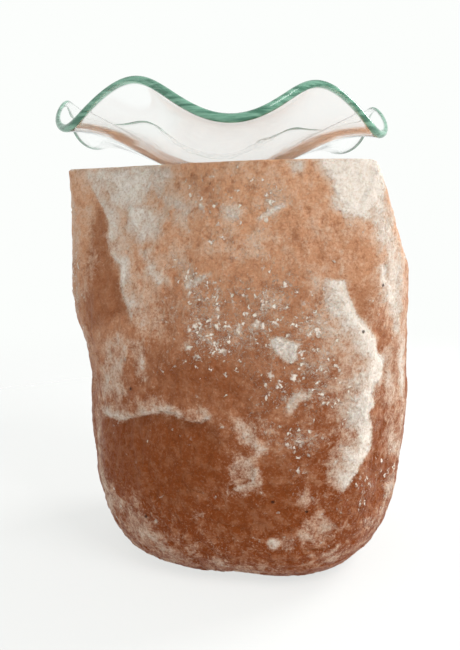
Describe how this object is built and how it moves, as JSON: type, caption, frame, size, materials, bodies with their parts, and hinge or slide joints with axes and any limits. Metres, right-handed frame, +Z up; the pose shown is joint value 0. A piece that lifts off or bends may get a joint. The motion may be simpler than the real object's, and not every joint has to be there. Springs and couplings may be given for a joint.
{
  "type": "salt crystal lamp",
  "caption": "Table lamp cut from a rough rock salt crystal, with a lampholder clipped into a bore from below and a loose wavy glass dish on its flat top.",
  "frame": {"origin": "on the table, under the axis of the bore, which is the middle of the lamp's box to within a millimetre", "axes": "+Z up along the bore; the front in the picture faces -Y; +X is to the right as seen from the front"},
  "size_m": [0.1461, 0.137, 0.191],
  "materials": {
    "salt": "rough broken rock salt, translucent, sawn flat on top and underneath",
    "dish_glass": "clear float glass, fire-polished, green at the edge",
    "pad_rubber": "matt",
    "holder_plastic": "moulded, satin black",
    "gland_plastic": "moulded, matt black",
    "seal_rubber": "matt",
    "porcelain": "unglazed white",
    "brass": "rolled, slightly dull",
    "steel": "spring steel and plated screws",
    "bulb_glass": "clear, blown",
    "black_glass": "black glass insulator",
    "solder": "grey solder",
    "tungsten": "drawn wire"
  },
  "bodies": {
    "crystal": {"salt_crystal": "salt", "foot_pad_back_right": "pad_rubber", "foot_pad_back_left": "pad_rubber", "foot_pad_front_left": "pad_rubber", "foot_pad_front_right": "pad_rubber"},
    "dish": {"glass_dish": "dish_glass"},
    "holder": {"gland_nut": "gland_plastic", "gland_seal": "seal_rubber", "gland_body": "gland_plastic", "gland_lock_nut": "gland_plastic", "holder_cap": "holder_plastic", "holder_sleeve": "holder_plastic", "terminal_block": "porcelain", "thread_shell": "brass", "centre_contact": "brass", "terminal_left": "brass", "terminal_right": "brass", "terminal_screws": "steel", "contact_rivets": "brass", "spring_clip": "steel", "ring_nut": "holder_plastic"},
    "bulb_contact": {"bulb_tip": "solder"},
    "bulb": {"cap_insulator": "black_glass", "bulb_cap": "brass", "bulb_glass": "bulb_glass", "bulb_stem": "bulb_glass", "lead_wires": "tungsten", "filament": "tungsten", "filament_support": "tungsten"}
  },
  "joints": [
    {"name": "dish_lift", "type": "slide", "parent": "crystal", "child": "dish", "axis": [0, 0, 1], "range_m": [0, 0.06]},
    {"name": "holder_pull", "type": "slide", "parent": "crystal", "child": "holder", "axis": [0, 0, -1], "range_m": [0, 0.12]},
    {"name": "bulb_travel", "type": "slide", "parent": "holder", "child": "bulb_contact", "axis": [0, 0, 1], "range_m": [0, 0.01412]},
    {"name": "bulb_turn", "type": "hinge", "parent": "bulb_contact", "child": "bulb", "pos_m": [0, 0, 0.06], "axis": [0, 0, 1], "range_deg": [0, 1800]}
  ],
  "couplings": [
    {"joint": "bulb_travel", "follows": "bulb_turn", "m_per_rad": 0.00044913}
  ]
}
